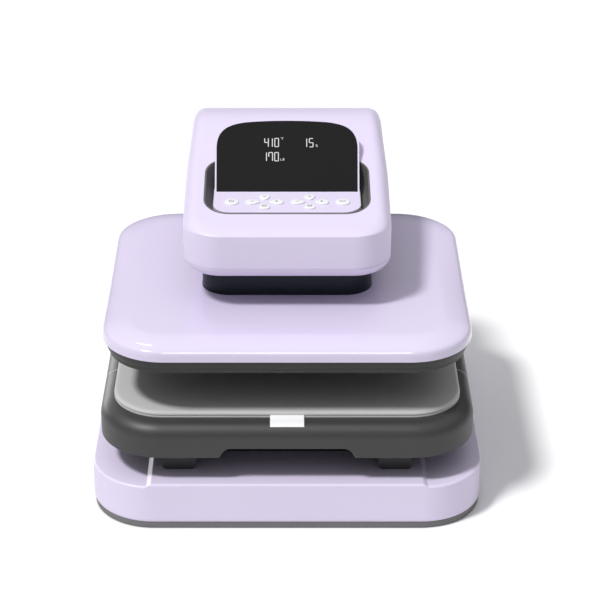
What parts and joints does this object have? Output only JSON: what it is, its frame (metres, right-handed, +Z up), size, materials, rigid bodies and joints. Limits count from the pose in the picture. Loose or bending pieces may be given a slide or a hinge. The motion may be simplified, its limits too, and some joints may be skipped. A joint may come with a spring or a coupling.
{
  "type": "automatic heat press",
  "caption": "Motor-driven flat heat press: heated upper plate on a rear column, pull-out lower drawer with a soft pad, sloped control head with a screen and buttons.",
  "frame": {"origin": "on the table, under the middle of the base", "axes": "+X to the viewer's right, +Y to the back, +Z up"},
  "size_m": [0.423, 0.43, 0.3603],
  "materials": {
    "lilac": "satin",
    "gloss_lilac": "gloss",
    "charcoal": "matte",
    "navy": "satin",
    "foot_rubber": "matte",
    "pad_rubber": "matte",
    "tag_white": "matte",
    "white": "gloss",
    "black": "satin",
    "screen": "polished",
    "steel": "brushed",
    "aluminium": "satin",
    "dark_metal": "satin",
    "board": "matte",
    "insulation": "matte"
  },
  "bodies": {
    "stand": {"base_shell": "lilac", "base_plate": "charcoal", "foot_front_left": "foot_rubber", "foot_front_right": "foot_rubber", "foot_rear_left": "foot_rubber", "foot_rear_right": "foot_rubber", "base_beam_left": "steel", "base_beam_right": "steel", "column_post_left": "steel", "column_post_right": "steel", "head_arm": "steel", "column_cover": "lilac", "power_inlet": "charcoal", "switch_frame": "charcoal", "drawer_rail_left": "steel", "drawer_rail_right": "steel", "rail_tie": "charcoal", "actuator_body": "dark_metal", "guide_bush_left": "steel", "guide_bush_right": "steel", "gearbox": "aluminium", "drive_motor": "steel", "power_board": "board", "neck_liner": "navy", "head_shell": "lilac", "head_tray": "lilac", "control_pocket": "charcoal", "display_housing": "lilac", "display_glass": "screen", "display_board": "board", "button_board": "board"},
    "press": {"press_cover": "gloss_lilac", "heat_skirt": "charcoal", "hot_plate": "aluminium", "heating_element": "steel", "insulation_board": "insulation", "press_plate": "steel", "neck_sleeve": "navy", "actuator_rod": "steel", "guide_rod_left": "steel", "guide_rod_right": "steel"},
    "drawer": {"drawer_tray": "charcoal", "lower_platen": "aluminium", "press_pad": "pad_rubber", "pad_tag": "tag_white", "drawer_glide_left": "charcoal", "drawer_glide_right": "charcoal", "drawer_slider_left": "steel", "drawer_slider_right": "steel"},
    "power_button": {"power_button": "white"},
    "start_button": {"start_button": "white"},
    "left_pad_up": {"left_pad_up": "white"},
    "left_pad_down": {"left_pad_down": "white"},
    "left_pad_left": {"left_pad_left": "white"},
    "left_pad_right": {"left_pad_right": "white"},
    "right_pad_up": {"right_pad_up": "white"},
    "right_pad_down": {"right_pad_down": "white"},
    "right_pad_left": {"right_pad_left": "white"},
    "right_pad_right": {"right_pad_right": "white"},
    "power_rocker": {"power_rocker": "black"}
  },
  "joints": [
    {"name": "press_slide", "type": "slide", "parent": "stand", "child": "press", "axis": [0, 0, -1], "range_m": [0, 0.0495]},
    {"name": "drawer_slide", "type": "slide", "parent": "stand", "child": "drawer", "axis": [0, -1, 0], "range_m": [0, 0.2]},
    {"name": "power_button_push", "type": "slide", "parent": "stand", "child": "power_button", "axis": [0, 0.0419, -0.9991], "range_m": [0, 0.0008], "stiffness_N_per_m": 300},
    {"name": "start_button_push", "type": "slide", "parent": "stand", "child": "start_button", "axis": [0, 0.0419, -0.9991], "range_m": [0, 0.0008], "stiffness_N_per_m": 300},
    {"name": "left_pad_up_push", "type": "slide", "parent": "stand", "child": "left_pad_up", "axis": [0, 0.0419, -0.9991], "range_m": [0, 0.0008], "stiffness_N_per_m": 300},
    {"name": "left_pad_down_push", "type": "slide", "parent": "stand", "child": "left_pad_down", "axis": [0, 0.0419, -0.9991], "range_m": [0, 0.0008], "stiffness_N_per_m": 300},
    {"name": "left_pad_left_push", "type": "slide", "parent": "stand", "child": "left_pad_left", "axis": [0, 0.0419, -0.9991], "range_m": [0, 0.0008], "stiffness_N_per_m": 300},
    {"name": "left_pad_right_push", "type": "slide", "parent": "stand", "child": "left_pad_right", "axis": [0, 0.0419, -0.9991], "range_m": [0, 0.0008], "stiffness_N_per_m": 300},
    {"name": "right_pad_up_push", "type": "slide", "parent": "stand", "child": "right_pad_up", "axis": [0, 0.0419, -0.9991], "range_m": [0, 0.0008], "stiffness_N_per_m": 300},
    {"name": "right_pad_down_push", "type": "slide", "parent": "stand", "child": "right_pad_down", "axis": [0, 0.0419, -0.9991], "range_m": [0, 0.0008], "stiffness_N_per_m": 300},
    {"name": "right_pad_left_push", "type": "slide", "parent": "stand", "child": "right_pad_left", "axis": [0, 0.0419, -0.9991], "range_m": [0, 0.0008], "stiffness_N_per_m": 300},
    {"name": "right_pad_right_push", "type": "slide", "parent": "stand", "child": "right_pad_right", "axis": [0, 0.0419, -0.9991], "range_m": [0, 0.0008], "stiffness_N_per_m": 300},
    {"name": "power_rocker_tilt", "type": "hinge", "parent": "stand", "child": "power_rocker", "pos_m": [-0.021, 0.2066, 0.0915], "axis": [1, 0, 0], "range_deg": [-14, 0]}
  ]
}
